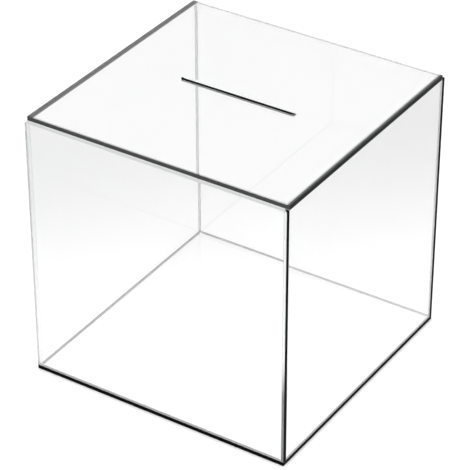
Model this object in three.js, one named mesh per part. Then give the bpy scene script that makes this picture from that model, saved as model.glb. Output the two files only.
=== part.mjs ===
// Clear acrylic money box: a cube of bonded acrylic sheet with a slotted lid that lifts off.
// Units are millimetres, +Z is up, -Y is the front, and the origin is at the middle of the underside.
// Every piece is a sheet cut to size, with its corners eased and the arris taken off its polished edges.
// The front and back walls cover the ends of the side walls, and all four stand on a full-size base.
// The lid is as wide as the box and as deep as the side walls that carry it, so the tops of the front
// and back walls stay bare. Four small locators under the lid drop inside the corners and hold it in place.

import * as THREE from "three";

// Driving dimensions
const boxWidth = 200; // outside, along X
const boxDepth = 200; // outside, along Y
const boxHeight = 200; // outside, lid included
const wallThickness = 3;
const baseThickness = 3;
const lidThickness = 3;
const slotLength = 89; // along X, from end to end
const slotWidth = 4.2;
const locatorSize = 5; // sides of a square locator
const locatorThickness = 3;
const locatorRadius = 2; // on the locator's corner nearest the middle of the lid
const locatorClearance = 0.5; // between a locator and the walls beside it
const bondLine = 0.1; // cement film in each bonded joint
const lidSeat = 0.1; // air film under the loose lid
const arris = 0.4; // taken off every long edge
const cornerRadius = 0.6; // on every other corner of a sheet's outline
const arcDivisions = 4; // half the number of facets in each arc

// Sizes that follow from them
const insideWidth = boxWidth - 2 * wallThickness;
const insideDepth = boxDepth - 2 * wallThickness;
const wallBottom = baseThickness + bondLine;
const lidBottom = boxHeight - lidThickness;
const wallHeight = lidBottom - lidSeat - wallBottom;

// Corners of a sheet seen from above, anticlockwise, each with its way along X and along Y
const corners = [
  ["front_left", -1, -1],
  ["front_right", 1, -1],
  ["back_right", 1, 1],
  ["back_left", -1, 1],
];
const quarterTurn = Math.PI / 2;

function clearAcrylic() {
  return new THREE.MeshStandardMaterial({
    color: 0xf2f4f4,
    roughness: 0.04,
    metalness: 0,
    transparent: true,
    opacity: 0.3,
  });
}

// Rectangle about the origin, with one radius for each corner
function rectangle(width, height, radii = corners.map(() => cornerRadius)) {
  const outline = new THREE.Shape();
  corners.forEach(([, alongX, alongY], index) => {
    const radius = radii[index];
    const x = alongX * (width / 2 - radius);
    const y = alongY * (height / 2 - radius);
    const start = Math.PI + index * quarterTurn;
    outline.absarc(x, y, radius, start, start + quarterTurn);
  });
  return outline;
}

// Long hole with round ends, about the origin and lying along X
function roundEndedSlot(length, width) {
  const radius = width / 2;
  const reach = length / 2 - radius;
  const hole = new THREE.Path();
  hole.absarc(reach, 0, radius, -quarterTurn, quarterTurn);
  hole.absarc(-reach, 0, radius, quarterTurn, 3 * quarterTurn);
  return hole;
}

// Sheet of the given outline, lying flat on Z = 0, with the arris taken off all its rims
function sheet(name, outline, thickness) {
  const geometry = new THREE.ExtrudeGeometry(outline, {
    depth: thickness - 2 * arris,
    bevelEnabled: true,
    bevelThickness: arris,
    bevelSize: arris,
    bevelOffset: -arris,
    bevelSegments: 1,
    curveSegments: arcDivisions,
  });
  geometry.translate(0, 0, arris);
  const mesh = new THREE.Mesh(geometry, clearAcrylic());
  mesh.name = name;
  return mesh;
}

// Base, under all four walls
function makeBase() {
  return sheet("base_panel", rectangle(boxWidth, boxDepth), baseThickness);
}

// Wall stood upright with its outer face a given distance in front of the origin, then turned about Z
function makeWall(name, width, reach, turn) {
  const wall = sheet(name, rectangle(width, wallHeight), wallThickness);
  wall.rotation.x = quarterTurn;
  wall.position.set(0, wallThickness - reach, wallBottom + wallHeight / 2);
  const side = new THREE.Group();
  side.rotation.z = turn;
  side.add(wall);
  return side;
}

// Front and back walls run the full width, and the side walls are bonded between them
function makeWalls() {
  const sideLength = insideDepth - 2 * bondLine;
  return [
    makeWall("front_panel", boxWidth, boxDepth / 2, 0),
    makeWall("right_panel", sideLength, boxWidth / 2, quarterTurn),
    makeWall("back_panel", boxWidth, boxDepth / 2, Math.PI),
    makeWall("left_panel", sideLength, boxWidth / 2, -quarterTurn),
  ];
}

// Lid sheet with the slot routed through its middle
function makeLidSheet() {
  const outline = rectangle(boxWidth, insideDepth);
  outline.holes.push(roundEndedSlot(slotLength, slotWidth));
  const lidSheet = sheet("lid_panel", outline, lidThickness);
  lidSheet.position.z = lidBottom;
  return lidSheet;
}

// Locators bonded under the lid, one in each inside corner, rounded towards the middle
function makeLocators() {
  const x = (insideWidth - locatorSize) / 2 - locatorClearance;
  const y = (insideDepth - locatorSize) / 2 - locatorClearance;
  const z = lidBottom - bondLine - locatorThickness;
  return corners.map(([place, alongX, alongY], index) => {
    const inner = (index + corners.length / 2) % corners.length;
    const radii = corners.map((corner, other) => (other === inner ? locatorRadius : cornerRadius));
    const outline = rectangle(locatorSize, locatorSize, radii);
    const locator = sheet(`locator_${place}`, outline, locatorThickness);
    locator.position.set(alongX * x, alongY * y, z);
    return locator;
  });
}

const box = new THREE.Group();
box.add(makeBase(), ...makeWalls());

const lid = new THREE.Group();
lid.add(makeLidSheet(), ...makeLocators());

const moneyBox = new THREE.Group();
moneyBox.add(box, lid);

export default moneyBox;
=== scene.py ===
import math

import bmesh
import bpy
from mathutils import Matrix, Vector


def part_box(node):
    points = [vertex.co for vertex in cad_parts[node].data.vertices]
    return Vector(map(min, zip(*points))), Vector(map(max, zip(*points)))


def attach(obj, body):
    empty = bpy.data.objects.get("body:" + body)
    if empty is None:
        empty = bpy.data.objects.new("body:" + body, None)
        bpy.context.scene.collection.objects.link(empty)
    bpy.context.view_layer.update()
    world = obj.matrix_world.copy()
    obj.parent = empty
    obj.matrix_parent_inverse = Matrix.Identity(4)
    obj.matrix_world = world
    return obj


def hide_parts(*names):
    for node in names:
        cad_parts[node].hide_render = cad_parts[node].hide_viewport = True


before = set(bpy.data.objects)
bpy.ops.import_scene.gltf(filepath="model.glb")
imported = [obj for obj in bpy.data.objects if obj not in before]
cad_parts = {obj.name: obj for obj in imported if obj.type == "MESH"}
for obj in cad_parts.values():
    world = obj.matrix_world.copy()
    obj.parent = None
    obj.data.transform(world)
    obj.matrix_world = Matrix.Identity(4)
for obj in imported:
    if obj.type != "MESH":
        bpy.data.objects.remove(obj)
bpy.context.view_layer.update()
scene = bpy.context.scene

# Sizes from the frame: the lid, and the space that the walls and the base enclose
lidLow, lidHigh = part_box("lid_panel")
insideLow = Vector((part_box("left_panel")[1].x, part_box("front_panel")[1].y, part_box("base_panel")[1].z))
insideHigh = Vector((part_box("right_panel")[0].x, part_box("back_panel")[0].y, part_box("right_panel")[1].z))

# Small helpers for node trees

noiseMiddle = 0.5  # the value that noise lies about


def addNode(tree, kind, values=None, **settings):
    node = tree.nodes.new(kind)
    for name, value in settings.items():
        setattr(node, name, value)
    for name, value in (values or {}).items():
        node.inputs[name].default_value = value
    return node


def join(tree, source, target):
    tree.links.new(source, target)


def feed(tree, value, target):  # a socket is linked, anything else is set
    if isinstance(value, bpy.types.NodeSocket):
        join(tree, value, target)
    else:
        target.default_value = value


def newGroup(name, kind, inputs, outputs):
    tree = bpy.data.node_groups.new(name, kind)
    for label, socket, value in inputs:
        item = tree.interface.new_socket(label, in_out="INPUT", socket_type=socket)
        if value is not None:
            item.default_value = value
    for label, socket in outputs:
        tree.interface.new_socket(label, in_out="OUTPUT", socket_type=socket)
    return tree, addNode(tree, "NodeGroupInput"), addNode(tree, "NodeGroupOutput")


def mathNode(tree, operation, first, second=None, clamp=False):
    node = addNode(tree, "ShaderNodeMath", operation=operation, use_clamp=clamp)
    feed(tree, first, node.inputs[0])
    if second is not None:
        feed(tree, second, node.inputs[1])
    return node.outputs[0]


def rampNode(tree, value, start, end, low=0.0, high=1.0, kind="LINEAR"):
    node = addNode(tree, "ShaderNodeMapRange", {
        "From Min": start, "From Max": end, "To Min": low, "To Max": high,
    }, interpolation_type=kind)
    join(tree, value, node.inputs["Value"])
    return node.outputs[0]


def mixNode(tree, factor, first, second):
    node = addNode(tree, "ShaderNodeMix", data_type="RGBA")
    join(tree, factor, node.inputs["Factor"])
    feed(tree, first, node.inputs["A"])
    feed(tree, second, node.inputs["B"])
    return node.outputs["Result"]


def noiseNode(tree, place, scale, detail):
    node = addNode(tree, "ShaderNodeTexNoise", {"Scale": scale, "Detail": detail})
    join(tree, place, node.inputs["Vector"])
    return node.outputs["Fac"]


def splitNode(tree, place):
    node = addNode(tree, "ShaderNodeSeparateXYZ")
    join(tree, place, node.inputs[0])
    return node.outputs


def vectorNode(tree, parts):
    node = addNode(tree, "ShaderNodeCombineXYZ")
    for axis, value in parts.items():
        join(tree, value, node.inputs[axis])
    return node.outputs[0]


def mixShaders(tree, factor, first, second):
    node = addNode(tree, "ShaderNodeMixShader")
    join(tree, factor, node.inputs[0])
    join(tree, first.outputs[0], node.inputs[1])
    join(tree, second.outputs[0], node.inputs[2])
    return node


def newMaterial(name):
    material = bpy.data.materials.new(name)
    material.use_nodes = True
    tree = material.node_tree
    tree.nodes.clear()
    place = addNode(tree, "ShaderNodeTexCoord").outputs["Object"]
    return material, tree, place


def setSurface(tree, shader):
    out = addNode(tree, "ShaderNodeOutputMaterial")
    join(tree, shader.outputs[0], out.inputs["Surface"])


# Shader groups shared by the acrylic materials

surfaceWear = {
    "scratchTurn": (0.5, 0.3, 0.7),
    "scratchStretch": (9, 160, 60),
    "scratchScale": 4,
    "scratchWidth": 0.004,
    "patchScale": 22,
    "patchEdge": (0.55, 0.72),
    "speckScale": 420,
    "speckEdge": (0.05, 0.12),
    "speckHaze": 0.6,
    "waveScale": 14,
}


def buildSurfaceMarks(wear):
    tree, given, out = newGroup("surfaceMarks", "ShaderNodeTree", [
        ("Vector", "NodeSocketVector", None),
        ("Scratch Amount", "NodeSocketFloat", 0.5),
        ("Dust Amount", "NodeSocketFloat", 0.5),
    ], [("Haze", "NodeSocketFloat"), ("Dust", "NodeSocketFloat"), ("Height", "NodeSocketFloat")])
    place = given.outputs["Vector"]
    # hairline scratches: stretched noise, kept only near its crossing lines and in patches
    stretch = addNode(tree, "ShaderNodeMapping", {
        "Rotation": wear["scratchTurn"], "Scale": wear["scratchStretch"],
    })
    join(tree, place, stretch.inputs["Vector"])
    strands = noiseNode(tree, stretch.outputs[0], wear["scratchScale"], detail=2)
    nearLine = mathNode(tree, "ABSOLUTE", mathNode(tree, "SUBTRACT", strands, noiseMiddle))
    hairline = rampNode(tree, nearLine, 0.0, wear["scratchWidth"], low=1.0, high=0.0)
    patches = noiseNode(tree, place, wear["patchScale"], detail=3)
    patches = rampNode(tree, patches, *wear["patchEdge"])
    scratch = mathNode(tree, "MULTIPLY", hairline, patches)
    scratch = mathNode(tree, "MULTIPLY", scratch, given.outputs["Scratch Amount"])
    # specks of dust
    specks = addNode(tree, "ShaderNodeTexVoronoi", {"Scale": wear["speckScale"]})
    join(tree, place, specks.inputs["Vector"])
    speck = rampNode(tree, specks.outputs["Distance"], *wear["speckEdge"], low=1.0, high=0.0)
    dust = mathNode(tree, "MULTIPLY", speck, given.outputs["Dust Amount"])
    dustHaze = mathNode(tree, "MULTIPLY", dust, wear["speckHaze"])
    haze = mathNode(tree, "ADD", scratch, dustHaze, clamp=True)
    # slow waves of the cast sheet
    waves = noiseNode(tree, place, wear["waveScale"], detail=1)
    join(tree, haze, out.inputs["Haze"])
    join(tree, dust, out.inputs["Dust"])
    join(tree, waves, out.inputs["Height"])
    return tree


sawWear = {"lineDetail": 4, "patchScale": 35}


def buildSawMarks(wear):
    tree, given, out = newGroup("sawMarks", "ShaderNodeTree", [
        ("Vector", "NodeSocketVector", None),
        ("Spacing", "NodeSocketFloat", 0.0011),
        ("Depth", "NodeSocketFloat", 0.5),
    ], [("Shade", "NodeSocketFloat"), ("Height", "NodeSocketFloat")])
    # the sum of x, y and z runs along every edge, so the marks cross it
    axes = splitNode(tree, given.outputs["Vector"])
    along = mathNode(tree, "ADD", axes["X"], mathNode(tree, "ADD", axes["Y"], axes["Z"]))
    step = mathNode(tree, "DIVIDE", along, given.outputs["Spacing"])
    lines = addNode(tree, "ShaderNodeTexNoise", {"Scale": 1, "Detail": wear["lineDetail"]},
                    noise_dimensions="1D")
    join(tree, step, lines.inputs["W"])
    patches = noiseNode(tree, given.outputs["Vector"], wear["patchScale"], detail=2)
    shade = mathNode(tree, "MULTIPLY", lines.outputs["Fac"], patches)
    shade = mathNode(tree, "MULTIPLY", shade, given.outputs["Depth"])
    join(tree, shade, out.inputs["Shade"])
    join(tree, lines.outputs["Fac"], out.inputs["Height"])
    return tree


surfaceMarks = buildSurfaceMarks(surfaceWear)
sawMarks = buildSawMarks(sawWear)

# Finishes of the sheets' faces

sheetFinish = {
    "tint": (0.945, 0.946, 0.946, 1),
    "film": (0.945, 0.946, 0.946, 1),
    "rise": (0.02, 0.18),  # heights between which the painted shade deepens
    "slant": 0.5,  # how far the painted shade also follows the way to the back and left
    "ior": 1.49,
    "scratches": 0.35,
    "dust": 0.3,
    "dustTint": (0.9, 0.9, 0.9, 1),
    "roughest": 0.12,
    "wave": 0.00006,
}
baseFinish = dict(sheetFinish, tint=(0.99, 0.99, 0.99, 1), film=(0.99, 0.99, 0.99, 1), lightsFloor=True)
# the right and front walls get painted shade, darkest at the top and away from the near corner
wallFinish = dict(sheetFinish, tint=(0.985, 0.985, 0.985, 1), film=(0.71, 0.712, 0.713, 1),
                  rise=(-0.01, 0.18))
# the front sheet's faces are a trifle out of parallel, which lifts what is seen through it
frontFinish = dict(wallFinish, film=(0.77, 0.772, 0.773, 1), rise=(0.02, 0.18),
                   lean=(0.004, 0, 0.0136), graze=(0.6, 0.8))
# a low index, so that the left wall shows no second image of the back joint
farFinish = dict(sheetFinish, ior=1.2)
# painted shade along the lid's right and front rims
lidFinish = dict(sheetFinish, rims=[
    {"axis": "X", "start": lidHigh.x - 0.0037, "end": lidHigh.x - 0.0021, "tint": (0.42, 0.42, 0.42, 1)},
    {"axis": "Y", "start": lidLow.y + 0.0025, "end": lidLow.y + 0.0001, "tint": (0.3, 0.3, 0.3, 1)},
])
# the locators bend next to no light, so the corners of the lid stay clear
locatorFinish = dict(sheetFinish, tint=(0.98, 0.98, 0.98, 1), film=(0.98, 0.98, 0.98, 1), ior=1.05)


def leaningNormal(tree, finish):
    way = addNode(tree, "ShaderNodeNewGeometry")
    # at a graze a wedge would trap the light in the sheet, so there the faces are parallel
    slope = addNode(tree, "ShaderNodeLayerWeight", {"Blend": 0.5})
    square = rampNode(tree, slope.outputs["Facing"], *finish["graze"], low=1.0, high=0.0)
    # only the first face met leans, so the two faces are out of parallel
    first = mathNode(tree, "SUBTRACT", 1.0, way.outputs["Backfacing"])
    amount = addNode(tree, "ShaderNodeVectorMath", operation="SCALE")
    amount.inputs[0].default_value = finish["lean"]
    join(tree, mathNode(tree, "MULTIPLY", first, square), amount.inputs["Scale"])
    leaning = addNode(tree, "ShaderNodeVectorMath", operation="ADD")
    join(tree, way.outputs["Normal"], leaning.inputs[0])
    join(tree, amount.outputs[0], leaning.inputs[1])
    unit = addNode(tree, "ShaderNodeVectorMath", operation="NORMALIZE")
    join(tree, leaning.outputs[0], unit.inputs[0])
    return unit.outputs[0]


def passLightToFloor(tree, shader):  # so that only the cut edges shade the floor
    path = addNode(tree, "ShaderNodeLightPath")
    fromFloor = mathNode(tree, "MAXIMUM", path.outputs["Is Shadow Ray"], path.outputs["Is Diffuse Ray"])
    return mixShaders(tree, fromFloor, shader, addNode(tree, "ShaderNodeBsdfTransparent"))


def makeSheetMaterial(name, finish):
    material, tree, place = newMaterial(name)
    marks = addNode(tree, "ShaderNodeGroup", {
        "Scratch Amount": finish["scratches"], "Dust Amount": finish["dust"],
    }, node_tree=surfaceMarks)
    join(tree, place, marks.inputs["Vector"])
    rough = rampNode(tree, marks.outputs["Haze"], 0.0, 1.0, high=finish["roughest"])
    axes = splitNode(tree, place)
    away = mathNode(tree, "SUBTRACT", axes["Y"], axes["X"])
    away = mathNode(tree, "MULTIPLY", away, finish["slant"])
    height = mathNode(tree, "ADD", axes["Z"], away)
    # painted shade, darker higher up and towards the back and left
    film = rampNode(tree, height, *finish["rise"], kind="SMOOTHSTEP")
    colour = mixNode(tree, film, finish["tint"], finish["film"])
    colour = mixNode(tree, marks.outputs["Dust"], colour, finish["dustTint"])
    # painted shade near the rims that the finish lists
    for rim in finish.get("rims", []):
        paintedRimShade = rampNode(tree, axes[rim["axis"]], rim["start"], rim["end"], kind="SMOOTHSTEP")
        colour = mixNode(tree, paintedRimShade, colour, rim["tint"])
    bump = addNode(tree, "ShaderNodeBump", {"Strength": 1.0, "Distance": finish["wave"]})
    join(tree, marks.outputs["Height"], bump.inputs["Height"])
    if "lean" in finish:
        join(tree, leaningNormal(tree, finish), bump.inputs["Normal"])
    shader = addNode(tree, "ShaderNodeBsdfPrincipled", {"IOR": finish["ior"], "Transmission Weight": 1.0})
    join(tree, colour, shader.inputs["Base Color"])
    join(tree, rough, shader.inputs["Roughness"])
    join(tree, bump.outputs[0], shader.inputs["Normal"])
    if finish.get("lightsFloor"):
        shader = passLightToFloor(tree, shader)
    setSurface(tree, shader)
    return material


faces = {
    "clearFace": sheetFinish,
    "clearLid": lidFinish,
    "clearBase": baseFinish,
    "clearWall": wallFinish,
    "clearFront": frontFinish,
    "clearFar": farFinish,
    "clearLocator": locatorFinish,
}
materials = {name: makeSheetMaterial(name, finish) for name, finish in faces.items()}

# Finishes of the cut edges: dark and light tone outside, which on most cuts is painted shade, and how the cut
# looks from within the sheet


def grey(value):  # a trifle cool
    return (value, value * 1.01, value * 1.02, 1)


slotShape = {"Slot Length": 0.089, "Slot Width": 0.0042}
slotBackTop = lidHigh.z + slotShape["Slot Width"] / 2  # height plus depth of the slot's back rim

sawn = {"spacing": 0.0011, "depth": 1.0, "smooth": 0.3, "rough": 0.5,
        "markStrength": 0.4, "markHeight": 0.00002, "ior": sheetFinish["ior"], "withinRough": 0.02}
planed = dict(sawn, spacing=0.0014, depth=1.2)
bonded = dict(sawn, spacing=0.004, depth=1.2, gloss=0.3)
# painted shade: cut edges drawn near black outside, and dark from within
blackCut = dict(sawn, dark=grey(0.0005), light=grey(0.006), within=grey(0.2), gloss=0.01)
# painted shade: the front and back walls' top edges drawn mid grey
paleTop = dict(planed, dark=grey(0.5), light=grey(0.64), within=grey(0.9), clear=1.0, gloss=0.1)
seamCut = dict(bonded, dark=grey(0.3), light=grey(0.5), within=grey(0.2))

# a fade runs along an axis, or along the sum of two where it is slanted
cutFinishes = {
    # painted shade on the walls' upright cut edges
    "wallCut": dict(blackCut, clear=0.84),
    "frontLeftCut": dict(blackCut, clear=0.58),
    # painted shade: the base's cut edges drawn near black, dark grey along their top
    "baseCut": dict(
        blackCut, clear=0.75, gloss=0.02,
        fade={"axis": "Z", "start": insideLow.z - 0.0001, "end": insideLow.z + 0.0004, "tint": grey(0.25)},
    ),
    # painted shade: the lid's cut edges drawn dark grey, darkest along its right side
    "lidCut": dict(sawn, dark=grey(0.045), light=grey(0.1), within=grey(0.2), clear=0.85, gloss=0.05),
    "lidSide": dict(sawn, dark=grey(0.008), light=grey(0.045), within=grey(0.2), clear=0.85, gloss=0.02),
    # painted shade on the slot's walls, drawn near black, with painted light on a pale band along the top of
    # its back wall
    "slotCut": dict(
        sawn, dark=grey(0.0004), light=grey(0.003), within=grey(0.03), clear=0.26,
        spacing=0.0009, smooth=0.5, rough=0.7, gloss=0.01,
        fade={"axis": "Z", "slant": "Y", "start": slotBackTop - 0.00135, "end": slotBackTop - 0.00125,
              "tint": grey(0.88)},
    ),
    # painted shade: the side walls' top edges drawn near black, lighter grey towards the inside
    "wallTop": dict(
        planed, dark=grey(0.01), light=grey(0.06), within=grey(0.8), clear=1.0,
        smooth=0.4, rough=0.6, gloss=0.2,
        fade={"axis": "X", "mirrored": True, "start": lidHigh.x, "end": insideHigh.x - 0.0005,
              "tint": grey(0.16)},
    ),
    "frontTop": dict(
        paleTop,  # painted shade, dark only at the near corner, where x plus y comes to 0
        fade={"axis": "X", "slant": "Y", "start": -0.0009, "end": -0.0001, "tint": grey(0.003)},
    ),
    # painted shade, near black over the right wall
    "bareTop": dict(
        paleTop,
        fade={"axis": "X", "start": insideHigh.x - 0.0005, "end": insideHigh.x + 0.0005,
              "tint": grey(0.003)},
    ),
    "joint": dict(bonded, dark=grey(0.93), light=grey(0.99), within=grey(0.95), clear=1.0),
    "seam": dict(seamCut, clear=0.45),
    "farSeam": dict(seamCut, clear=0.56),
    "dryJoint": dict(
        bonded, dark=grey(0.08), light=grey(0.25), within=grey(0.9), clear=1.0,
        fade={"axis": "Z", "start": 0.05, "end": 0.085, "tint": grey(0.9)},
    ),
}


def fadeAmount(tree, place, fade):
    axes = splitNode(tree, place)
    reach = axes[fade["axis"]]
    if fade.get("mirrored"):
        reach = mathNode(tree, "ABSOLUTE", reach)
    if "slant" in fade:
        reach = mathNode(tree, "ADD", reach, axes[fade["slant"]])
    return rampNode(tree, reach, fade["start"], fade["end"], kind="SMOOTHSTEP")


def makeCutMaterial(name, finish):
    material, tree, place = newMaterial(name)
    saw = addNode(tree, "ShaderNodeGroup", {
        "Spacing": finish["spacing"], "Depth": finish["depth"],
    }, node_tree=sawMarks)
    join(tree, place, saw.inputs["Vector"])
    colour = mixNode(tree, saw.outputs["Shade"], finish["dark"], finish["light"])
    if "fade" in finish:
        fade = finish["fade"]
        colour = mixNode(tree, fadeAmount(tree, place, fade), colour, fade["tint"])
    rough = rampNode(tree, saw.outputs["Shade"], 0.0, 1.0, low=finish["smooth"], high=finish["rough"])
    bump = addNode(tree, "ShaderNodeBump", {
        "Strength": finish["markStrength"], "Distance": finish["markHeight"],
    })
    join(tree, saw.outputs["Height"], bump.inputs["Height"])
    outside = addNode(tree, "ShaderNodeBsdfPrincipled", {
        "IOR": finish["ior"], "Specular IOR Level": finish["gloss"],
    })
    join(tree, colour, outside.inputs["Base Color"])
    join(tree, rough, outside.inputs["Roughness"])
    join(tree, bump.outputs[0], outside.inputs["Normal"])
    # from within the sheet the cut mirrors, and is as clear as its finish says
    inside = addNode(tree, "ShaderNodeBsdfPrincipled", {
        "IOR": finish["ior"], "Roughness": finish["withinRough"],
        "Base Color": finish["within"], "Transmission Weight": finish["clear"],
    })
    way = addNode(tree, "ShaderNodeNewGeometry")
    setSurface(tree, mixShaders(tree, way.outputs["Backfacing"], outside, inside))
    return material


for name, finish in cutFinishes.items():
    materials[name] = makeCutMaterial(name, finish)
print("materials made")

# Geometry Nodes trees end alike, and run on an empty mesh


def endTree(tree, given, out, shape):
    real = addNode(tree, "GeometryNodeRealizeInstances")
    join(tree, shape, real.inputs["Geometry"])
    painted = addNode(tree, "GeometryNodeSetMaterial")
    join(tree, real.outputs[0], painted.inputs["Geometry"])
    join(tree, given.outputs["Material"], painted.inputs["Material"])
    join(tree, painted.outputs[0], out.inputs["Geometry"])


def moveNode(tree, shape, parts):
    node = addNode(tree, "GeometryNodeTransform")
    join(tree, shape, node.inputs["Geometry"])
    join(tree, vectorNode(tree, parts), node.inputs["Translation"])
    return node.outputs[0]


def runTree(name, tree, values):
    holder = bpy.data.objects.new(name, bpy.data.meshes.new(name + "Base"))
    scene.collection.objects.link(holder)
    modifier = holder.modifiers.new("shape", "NODES")
    modifier.node_group = tree
    for item in tree.interface.items_tree:
        if item.in_out == "INPUT" and item.name in values:
            modifier[item.identifier] = values[item.name]
    evaluated = holder.evaluated_get(bpy.context.evaluated_depsgraph_get())
    mesh = bpy.data.meshes.new_from_object(evaluated)
    mesh.name = name
    holder.modifiers.clear()
    holder.data = mesh
    return holder


# Cut sheet: the arris profile swept along the outline, with two caps

sheetShape = {"Arris": 0.00015, "Corner Radius": 0.0002}
sheetDetail = {
    "cornerSteps": 4,
    "slotSteps": 12,
    "slotEnd": 0.4999,  # of the slot's width, so that the arcs of an end don't quite touch
    "arrisPoints": 5,
    "mergeWithin": 0.000002,
}
quarterTurn = math.pi / 2


def buildSheetTree(detail):
    tree, given, out = newGroup("acrylicSheet", "GeometryNodeTree", [
        ("Width", "NodeSocketFloat", 0.2),
        ("Height", "NodeSocketFloat", 0.2),
        ("Thickness", "NodeSocketFloat", 0.003),
        ("Arris", "NodeSocketFloat", 0.0004),
        ("Corner Radius", "NodeSocketFloat", 0.0006),
        ("Slot Length", "NodeSocketFloat", 0.0),
        ("Slot Width", "NodeSocketFloat", 0.004),
        ("Material", "NodeSocketMaterial", None),
    ], [("Geometry", "NodeSocketGeometry")])
    arris = given.outputs["Arris"]

    def shrink(size, times):
        less = mathNode(tree, "MULTIPLY", arris, times)
        return mathNode(tree, "SUBTRACT", given.outputs[size], less)

    def outline(width, height, radius, steps):
        sides = addNode(tree, "GeometryNodeCurvePrimitiveQuadrilateral")
        join(tree, width, sides.inputs["Width"])
        join(tree, height, sides.inputs["Height"])
        fillet = addNode(tree, "GeometryNodeFilletCurve", {"Count": steps, "Limit Radius": True}, mode="POLY")
        join(tree, sides.outputs[0], fillet.inputs["Curve"])
        join(tree, radius, fillet.inputs["Radius"])
        return fillet.outputs[0]

    cornerRadius = shrink("Corner Radius", 1)
    outer = outline(shrink("Width", 2), shrink("Height", 2), cornerRadius, detail["cornerSteps"])
    slotWide = shrink("Slot Width", -2)
    slotEnd = mathNode(tree, "MULTIPLY", slotWide, detail["slotEnd"])
    slotCurve = outline(shrink("Slot Length", -2), slotWide, slotEnd, detail["slotSteps"])
    turned = addNode(tree, "GeometryNodeReverseCurve")
    join(tree, slotCurve, turned.inputs["Curve"])
    hasSlot = mathNode(tree, "GREATER_THAN", given.outputs["Slot Length"], 0.0)
    slotRim = addNode(tree, "GeometryNodeSwitch", input_type="GEOMETRY")
    join(tree, hasSlot, slotRim.inputs["Switch"])
    join(tree, turned.outputs[0], slotRim.inputs["True"])
    rims = addNode(tree, "GeometryNodeJoinGeometry")
    join(tree, slotRim.outputs[0], rims.inputs[0])
    join(tree, outer, rims.inputs[0])

    # profile of the edge: arris, flat, arris
    def arc(start, lift):
        piece = addNode(tree, "GeometryNodeCurveArc", {
            "Resolution": detail["arrisPoints"], "Start Angle": start, "Sweep Angle": quarterTurn,
        }, mode="RADIUS")
        join(tree, arris, piece.inputs["Radius"])
        return moveNode(tree, piece.outputs[0], {"Y": lift})

    topArris = shrink("Thickness", 1)
    flat = addNode(tree, "GeometryNodeCurvePrimitiveLine")
    for socket, height in (("Start", arris), ("End", topArris)):
        join(tree, vectorNode(tree, {"X": arris, "Y": height}), flat.inputs[socket])
    profile = addNode(tree, "GeometryNodeJoinGeometry")
    for stretch in (arc(0, topArris), flat.outputs[0], arc(-quarterTurn, arris)):
        join(tree, stretch, profile.inputs[0])
    standing = addNode(tree, "GeometryNodeTransform", {"Scale": (1, -1, 1)})
    join(tree, profile.outputs[0], standing.inputs["Geometry"])

    upright = addNode(tree, "GeometryNodeSetCurveNormal", mode="Z_UP")
    join(tree, rims.outputs[0], upright.inputs["Curve"])
    edge = addNode(tree, "GeometryNodeCurveToMesh")
    join(tree, upright.outputs[0], edge.inputs["Curve"])
    join(tree, standing.outputs[0], edge.inputs["Profile Curve"])
    cutMark = addNode(tree, "GeometryNodeStoreNamedAttribute", {"Name": "cut", "Value": True},
                      data_type="BOOLEAN", domain="FACE")
    join(tree, edge.outputs[0], cutMark.inputs["Geometry"])
    cap = addNode(tree, "GeometryNodeFillCurve", mode="TRIANGLES")
    join(tree, rims.outputs[0], cap.inputs["Curve"])
    under = addNode(tree, "GeometryNodeFlipFaces")
    join(tree, cap.outputs[0], under.inputs["Mesh"])
    over = moveNode(tree, cap.outputs[0], {"Z": given.outputs["Thickness"]})
    whole = addNode(tree, "GeometryNodeJoinGeometry")
    for piece in (over, under.outputs[0], cutMark.outputs[0]):
        join(tree, piece, whole.inputs[0])
    closed = addNode(tree, "GeometryNodeMergeByDistance", {"Distance": detail["mergeWithin"]})
    join(tree, whole.outputs[0], closed.inputs["Geometry"])
    endTree(tree, given, out, closed.outputs[0])
    return tree


sheetTree = buildSheetTree(sheetDetail)
slotReach = 0.001  # a cut this near to the slot belongs to it

# how a sheet that lies flat is stood up, by the axis that its thickness is along
standUp = [
    Matrix(((0, 0, 1), (1, 0, 0), (0, 1, 0))),
    Matrix(((-1, 0, 0), (0, 0, 1), (0, 1, 0))),
    Matrix.Identity(3),
]
# ways that a cut edge can face
ways = {
    "left": Vector((-1, 0, 0)),
    "right": Vector((1, 0, 0)),
    "front": Vector((0, -1, 0)),
    "back": Vector((0, 1, 0)),
    "bottom": Vector((0, 0, -1)),
    "top": Vector((0, 0, 1)),
}
panels = [
    {"name": "baseSheet", "node": "base_panel", "body": "box", "face": "clearBase", "shades": True,
     "cuts": {"front": "baseCut", "right": "baseCut", "back": "baseCut", "left": "baseCut"}},
    {"name": "frontSheet", "node": "front_panel", "body": "box", "face": "clearFront",
     "cuts": {"left": "frontLeftCut", "right": "wallCut", "top": "frontTop", "bottom": "seam"}},
    {"name": "backSheet", "node": "back_panel", "body": "box", "face": "clearFace",
     "cuts": {"left": "wallCut", "right": "wallCut", "top": "bareTop", "bottom": "farSeam"}},
    {"name": "rightSheet", "node": "right_panel", "body": "box", "face": "clearWall",
     "cuts": {"front": "dryJoint", "back": "seam", "top": "wallTop", "bottom": "seam"}},
    {"name": "leftSheet", "node": "left_panel", "body": "box", "face": "clearFar",
     "cuts": {"front": "joint", "back": "farSeam", "top": "wallTop", "bottom": "farSeam"}},
    {"name": "lidSheet", "node": "lid_panel", "body": "lid", "face": "clearLid", "slot": slotShape,
     "cuts": {"front": "lidCut", "right": "lidSide", "back": "lidCut", "left": "lidCut", "slot": "slotCut"}},
]


def besideSlot(offset, slot):
    if not slot:
        return False
    pastEnd = abs(offset.x) - slot["Slot Length"] / 2
    pastSide = abs(offset.y) - slot["Slot Width"] / 2
    return max(pastEnd, pastSide) < slotReach


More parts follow.
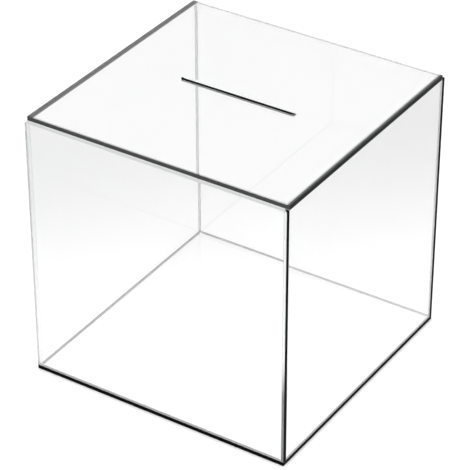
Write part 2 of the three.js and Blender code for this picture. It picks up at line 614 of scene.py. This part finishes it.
# cut edges take the material of the way they face
def paintSheet(mesh, panel, middle, thin):
    order = list(dict.fromkeys([panel["face"], *panel["cuts"].values()]))
    mesh.materials.clear()
    for name in order:
        mesh.materials.append(materials[name])
    isCut = [item.value for item in mesh.attributes["cut"].data]
    mesh.attributes.remove(mesh.attributes["cut"])
    for polygon in mesh.polygons:
        polygon.use_smooth = False
        polygon.material_index = 0
        if not isCut[polygon.index]:
            continue
        offset = polygon.center - middle
        side = Vector(polygon.normal)
        side[thin] = 0
        facing = max(ways, key=lambda way: side.dot(ways[way]))
        if besideSlot(offset, panel.get("slot")):
            facing = "slot"
        polygon.material_index = order.index(panel["cuts"][facing])


def makeSheet(panel):
    low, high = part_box(panel["node"])
    size = high - low
    middle = (low + high) / 2
    thin = min(range(3), key=lambda axis: size[axis])
    lying = standUp[thin].transposed() @ size
    thickness = abs(lying.z)
    values = {"Width": abs(lying.x), "Height": abs(lying.y), "Thickness": thickness}
    values.update(sheetShape)
    values.update(panel.get("slot", {}))
    values["Material"] = materials[panel["face"]]
    piece = runTree(panel["name"], sheetTree, values)
    mesh = piece.data
    centred = Matrix.Translation((0, 0, -thickness / 2))
    mesh.transform(Matrix.Translation(middle) @ standUp[thin].to_4x4() @ centred)
    shaped = bmesh.new()
    shaped.from_mesh(mesh)
    bmesh.ops.recalc_face_normals(shaped, faces=shaped.faces)
    shaped.to_mesh(mesh)
    shaped.free()
    paintSheet(mesh, panel, middle, thin)
    return piece


for panel in panels:
    piece = makeSheet(panel)
    piece.visible_shadow = panel.get("shades", False)
    piece.visible_diffuse = panel.get("shades", False)
    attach(piece, panel["body"])
    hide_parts(panel["node"])
print("sheets made")

# Beads of cement squeezed into the inside corners, each swept along its joint

beadShape = {
    "margin": 0.0015,  # from the ends of a joint
    "belowTop": 0.0001,
    "steps": 60,
    "swellScale": 60,
    "hollow": 0.36,  # middle of the bead's face, as a share of its size
}
cementFinish = {
    "tint": grey(0.56),
    "bubble": grey(0.2),
    "bubbleScale": 900,
    "bubbleEdge": (0.1, 0.35),
    "ior": 1.1,
    "rough": 0.1,
}
# ways from the middle of the box to each joint, which runs along the axis that has 0
beads = {
    "frontLeft": {"corner": (-1, -1, 0), "size": 0.00015},
    "frontRight": {"corner": (1, -1, 0), "size": 0.0002},
    "backRight": {"corner": (1, 1, 0), "size": 0.0003},
    "backLeft": {"corner": (-1, 1, 0), "size": 0.0003},
    "bottomFront": {"corner": (0, -1, -1), "size": 0.0003},
    "bottomRight": {"corner": (1, 0, -1), "size": 0.0003},
    "bottomBack": {"corner": (0, 1, -1), "size": 0.0004},
    "bottomLeft": {"corner": (-1, 0, -1), "size": 0.0003},
}


def buildBeadTree(shape):
    tree, given, out = newGroup("cementBead", "GeometryNodeTree", [
        ("Length", "NodeSocketFloat", 0.19),
        ("Size", "NodeSocketFloat", 0.0008),
        ("Clearance", "NodeSocketFloat", 0.00002),
        ("Unevenness", "NodeSocketFloat", 0.3),
        ("Seed", "NodeSocketFloat", 0.0),
        ("Material", "NodeSocketMaterial", None),
    ], [("Geometry", "NodeSocketGeometry")])
    path = addNode(tree, "GeometryNodeCurvePrimitiveLine")
    join(tree, vectorNode(tree, {"X": given.outputs["Length"]}), path.inputs["End"])
    fine = addNode(tree, "GeometryNodeResampleCurve", {"Count": shape["steps"]})
    join(tree, path.outputs[0], fine.inputs["Curve"])
    upright = addNode(tree, "GeometryNodeSetCurveNormal", mode="Z_UP")
    join(tree, fine.outputs[0], upright.inputs["Curve"])
    # the bead swells and thins along the joint
    place = addNode(tree, "GeometryNodeInputPosition")
    drift = addNode(tree, "ShaderNodeTexNoise", {"Scale": shape["swellScale"], "Detail": 2},
                    noise_dimensions="4D")
    join(tree, place.outputs[0], drift.inputs["Vector"])
    join(tree, given.outputs["Seed"], drift.inputs["W"])
    swell = mathNode(tree, "SUBTRACT", drift.outputs["Fac"], noiseMiddle)
    swell = mathNode(tree, "MULTIPLY", swell, given.outputs["Unevenness"])
    swell = mathNode(tree, "ADD", swell, 1.0)
    shaped = addNode(tree, "GeometryNodeSetCurveRadius")
    join(tree, upright.outputs[0], shaped.inputs["Curve"])
    join(tree, swell, shaped.inputs["Radius"])
    # hollow-faced fillet section
    section = addNode(tree, "GeometryNodeCurvePrimitiveQuadrilateral", mode="POINTS")
    gap = given.outputs["Clearance"]
    size = given.outputs["Size"]
    hollow = mathNode(tree, "MULTIPLY", size, shape["hollow"])
    points = [(gap, gap), (size, gap), (hollow, hollow), (gap, size)]
    for number, (x, y) in enumerate(points, start=1):
        join(tree, vectorNode(tree, {"X": x, "Y": y}), section.inputs[f"Point {number}"])
    swept = addNode(tree, "GeometryNodeCurveToMesh", {"Fill Caps": True})
    join(tree, shaped.outputs[0], swept.inputs["Curve"])
    join(tree, section.outputs[0], swept.inputs["Profile Curve"])
    endTree(tree, given, out, swept.outputs[0])
    return tree


def makeBeadMaterial(name, finish):
    material, tree, place = newMaterial(name)
    bubbles = addNode(tree, "ShaderNodeTexVoronoi", {"Scale": finish["bubbleScale"]})
    join(tree, place, bubbles.inputs["Vector"])
    solid = rampNode(tree, bubbles.outputs["Distance"], *finish["bubbleEdge"])
    shader = addNode(tree, "ShaderNodeBsdfPrincipled", {
        "IOR": finish["ior"], "Transmission Weight": 1.0, "Roughness": finish["rough"],
    })
    join(tree, mixNode(tree, solid, finish["bubble"], finish["tint"]), shader.inputs["Base Color"])
    setSurface(tree, shader)
    return material


def makeBeads(name, shape, cement):
    tree = buildBeadTree(shape)
    axes = list(Matrix.Identity(3))
    pathLow = insideLow + Vector((shape["margin"], shape["margin"], shape["margin"]))
    pathHigh = insideHigh - Vector((shape["margin"], shape["margin"], shape["belowTop"]))
    whole = bmesh.new()
    for seed, bead in enumerate(beads.values()):
        corner = bead["corner"]
        along = corner.index(0)
        start = Vector([low if way < 0 else high for low, high, way in zip(insideLow, insideHigh, corner)])
        start[along] = pathLow[along]
        length = pathHigh[along] - pathLow[along]
        values = {"Length": length, "Size": bead["size"], "Seed": float(seed), "Material": cement}
        part = runTree(name + str(seed), tree, values)
        # the section comes out along -Y and -Z of the path, so +Y and +Z point out of the corner
        outward = [axes[axis] * way for axis, way in enumerate(corner) if way != 0]
        turn = Matrix((axes[along], *outward)).transposed().to_4x4()
        part.data.transform(Matrix.Translation(start) @ turn)
        whole.from_mesh(part.data)
        bpy.data.objects.remove(part)
    bmesh.ops.recalc_face_normals(whole, faces=whole.faces)
    mesh = bpy.data.meshes.new(name)
    whole.to_mesh(mesh)
    whole.free()
    mesh.materials.append(cement)
    piece = bpy.data.objects.new(name, mesh)
    scene.collection.objects.link(piece)
    return piece


cementBeads = makeBeads("cementBeads", beadShape, makeBeadMaterial("cement", cementFinish))
cementBeads.visible_shadow = False
cementBeads.visible_diffuse = False
cementBeads.visible_glossy = False
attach(cementBeads, "box")
print("beads made")

# Locators under the lid keep their CAD shape and get a finish of their own

for name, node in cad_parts.items():
    if name.startswith("locator"):
        node.data.materials.clear()
        node.data.materials.append(materials["clearLocator"])
        node.visible_shadow = False
        node.visible_diffuse = False
print("locators finished")

# Stage: pale floor that curves up far away, soft light from above

floorShape = {
    "hub": 0.001,
    "middle": 0.4,
    "flat": 2.6,
    "rise": 1.3,
    "below": 0.0001,
    "steps": 12,
    "sides": 96,
}
floorFinish = {
    "dark": (0.9, 0.9, 0.9, 1),
    "light": (0.93, 0.93, 0.93, 1),
    "grain": 300,
    "rough": 0.9,
    "gloss": 0.1,
}


def makeFloor(shape):
    flat = shape["flat"]
    rise = shape["rise"]
    profile = [(shape["hub"], 0.0), (shape["middle"], 0.0), (flat, 0.0)]
    for step in range(1, shape["steps"] + 1):
        angle = step / shape["steps"] * quarterTurn
        profile.append((flat + rise * math.sin(angle), rise * (1 - math.cos(angle))))
    shaped = bmesh.new()
    rings = []
    for radius, height in profile:
        ring = []
        for side in range(shape["sides"]):
            turn = side / shape["sides"] * 2 * math.pi
            point = (radius * math.cos(turn), radius * math.sin(turn), height - shape["below"])
            ring.append(shaped.verts.new(point))
        rings.append(ring)
    shaped.faces.new(rings[0])
    for ring, wider in zip(rings, rings[1:]):
        for side in range(shape["sides"]):
            after = (side + 1) % shape["sides"]
            shaped.faces.new((ring[side], wider[side], wider[after], ring[after]))
    mesh = bpy.data.meshes.new("floor")
    shaped.to_mesh(mesh)
    shaped.free()
    mesh.polygons.foreach_set("use_smooth", [True] * len(mesh.polygons))
    piece = bpy.data.objects.new("floor", mesh)
    scene.collection.objects.link(piece)
    return piece


def makeFloorMaterial(finish):
    material, tree, place = newMaterial("paleFloor")
    grain = noiseNode(tree, place, finish["grain"], detail=3)
    shader = addNode(tree, "ShaderNodeBsdfPrincipled", {
        "Roughness": finish["rough"], "Specular IOR Level": finish["gloss"],
    })
    join(tree, mixNode(tree, grain, finish["dark"], finish["light"]), shader.inputs["Base Color"])
    setSurface(tree, shader)
    return material


floor = makeFloor(floorShape)
floor.data.materials.append(makeFloorMaterial(floorFinish))

# light from the sides and from the top, the height where they meet, and a glow low down
skyLight = {"side": 0.72, "top": 2.4, "edge": 0.72, "soft": 0.1, "low": 0.3, "lowEdge": (0.22, 0.45)}


def makeSky(light):
    world = bpy.data.worlds.new("studio")
    scene.world = world
    world.use_nodes = True
    tree = world.node_tree
    tree.nodes.clear()
    place = addNode(tree, "ShaderNodeTexCoord")
    height = splitNode(tree, place.outputs["Generated"])["Z"]
    edge = (light["edge"] - light["soft"], light["edge"] + light["soft"])
    strength = rampNode(tree, height, *edge, low=light["side"], high=light["top"], kind="SMOOTHSTEP")
    # a little more light near the horizon, so that the rim of the floor isn't mirrored
    low = rampNode(tree, height, *light["lowEdge"], low=light["low"], high=0.0, kind="SMOOTHSTEP")
    glow = addNode(tree, "ShaderNodeBackground")
    join(tree, mathNode(tree, "ADD", strength, low), glow.inputs["Strength"])
    out = addNode(tree, "ShaderNodeOutputWorld")
    join(tree, glow.outputs[0], out.inputs["Surface"])


makeSky(skyLight)
scene.view_settings.view_transform = "Standard"
print("stage made")

# Camera at the photograph's angle

view = {
    "from": Vector((0.72117, -1.11924, 0.95819)),
    "to": Vector((-0.001645, -0.001064, 0.090562)),
    "lens": 178.3166,
    "sensor": 36,
}
lens = bpy.data.cameras.new("camera")
lens.lens = view["lens"]
lens.sensor_width = view["sensor"]
camera = bpy.data.objects.new("camera", lens)
camera.location = view["from"]
camera.rotation_euler = (view["to"] - view["from"]).to_track_quat("-Z", "Y").to_euler()
scene.collection.objects.link(camera)
scene.camera = camera
print("camera set")
